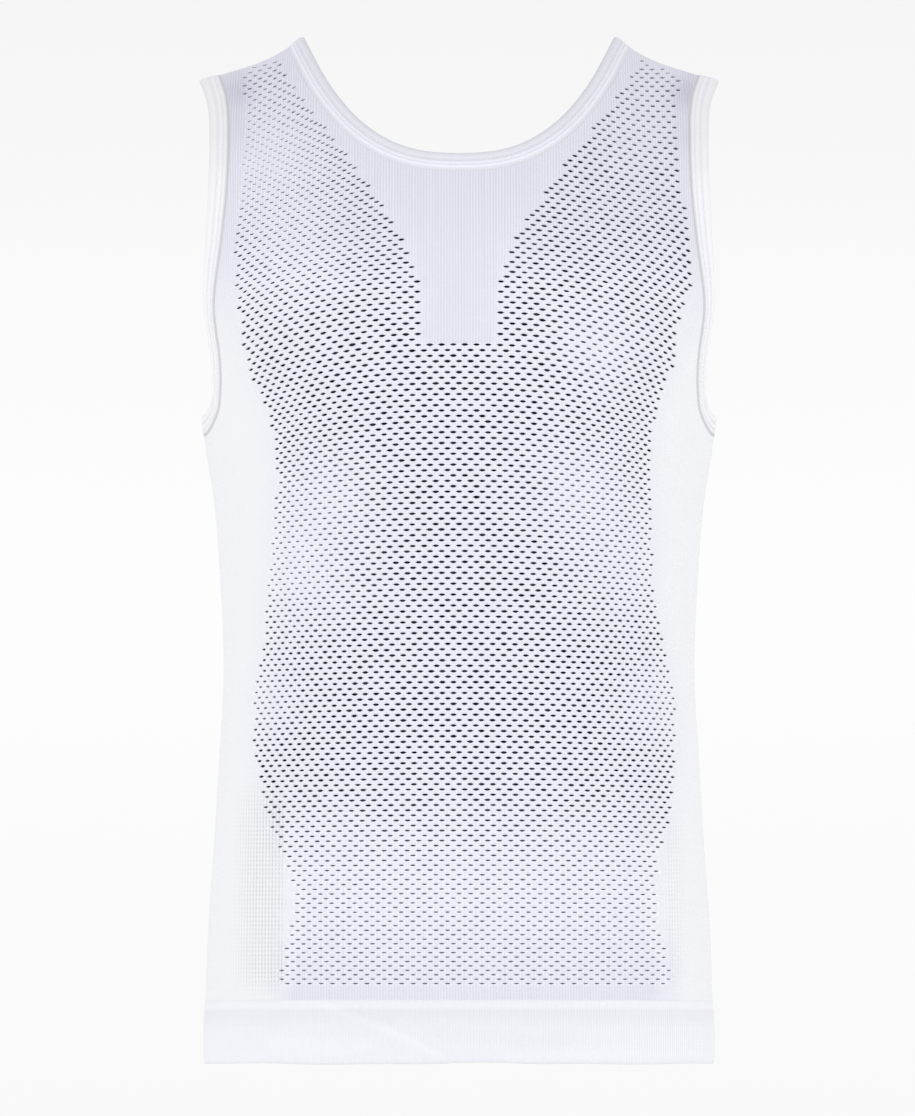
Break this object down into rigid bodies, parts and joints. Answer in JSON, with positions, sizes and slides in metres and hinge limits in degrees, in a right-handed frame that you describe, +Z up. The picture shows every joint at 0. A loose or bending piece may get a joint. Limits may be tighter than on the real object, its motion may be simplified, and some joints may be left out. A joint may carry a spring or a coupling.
{
  "type": "thermal base layer",
  "caption": "Close-fitting sleeveless net base layer, filled out as when worn, with a round neck, plain ribbed yoke, bound armholes and a turned hem.",
  "frame": {"origin": "where the wearer's shoulders hold the garment up: midway between them, at the height where the neck meets the shoulders", "axes": "+Z up along the wearer, -Y out of the front, +X to the wearer's left"},
  "size_m": [0.3424, 0.2344, 0.6753],
  "materials": {
    "net_knit": "matte open net and fine rib knit",
    "welt": "matte turned rib knit",
    "binding": "smooth matte folded band"
  },
  "bodies": {
    "root": {"body_front": "net_knit", "body_back": "net_knit", "hem_front": "welt", "hem_back": "welt", "neck_binding": "binding", "left_armhole_binding": "binding", "right_armhole_binding": "binding"}
  },
  "joints": []
}
